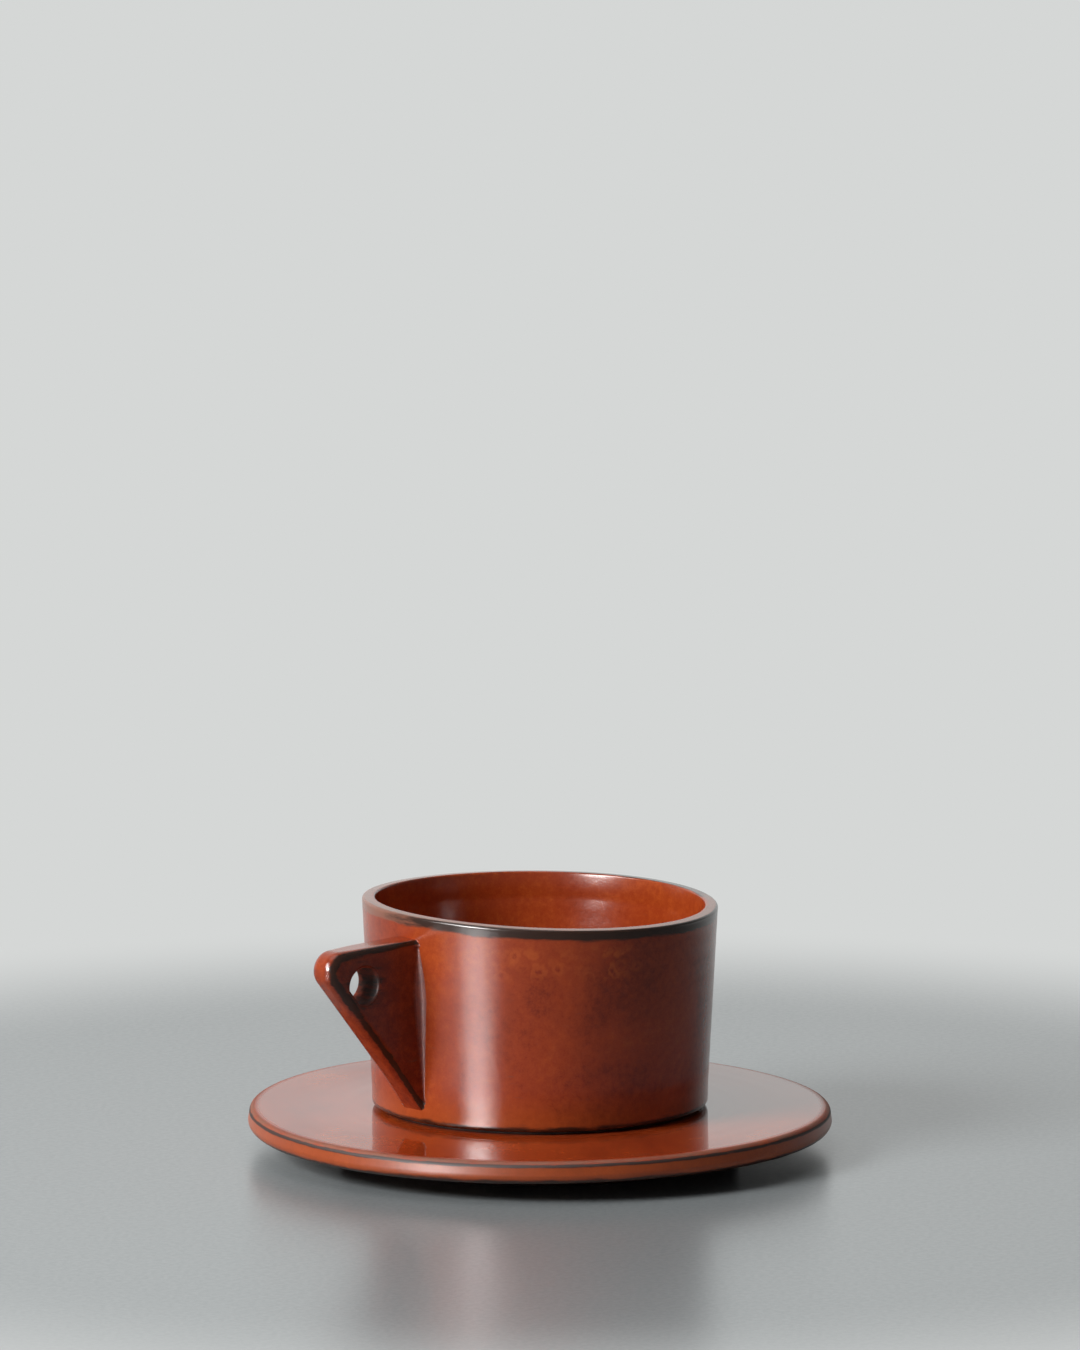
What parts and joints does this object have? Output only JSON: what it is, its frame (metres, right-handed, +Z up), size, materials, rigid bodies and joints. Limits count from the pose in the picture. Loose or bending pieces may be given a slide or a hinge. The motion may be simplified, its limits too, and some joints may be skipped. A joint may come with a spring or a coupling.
{
  "type": "cup and saucer",
  "caption": "Low straight-walled stoneware coffee cup with a flat triangular handle pierced by a round finger hole, standing loose on a flat round saucer with a set-in foot.",
  "frame": {"origin": "middle of the saucer's foot, on the surface it stands on", "axes": "+Z up along the axis of the cup and the saucer, -X along the handle from the axis to its tip"},
  "size_m": [0.15, 0.15, 0.0664],
  "materials": {
    "cup_glaze": "glossy rust-red reactive glaze that breaks dark brown on the edges",
    "saucer_glaze": "glossy rust-red reactive glaze that breaks dark brown on the edge",
    "bare_clay": "unglazed dark stoneware, matt and slightly gritty"
  },
  "bodies": {
    "saucer": {"saucer_plate": "saucer_glaze", "saucer_foot_ring": "bare_clay"},
    "cup": {"cup_body": "cup_glaze", "cup_foot_ring": "bare_clay", "handle": "cup_glaze"}
  },
  "joints": [
    {"name": "cup_lift", "type": "slide", "parent": "saucer", "child": "cup", "axis": [0, 0, 1], "range_m": [0, 0.12]}
  ]
}
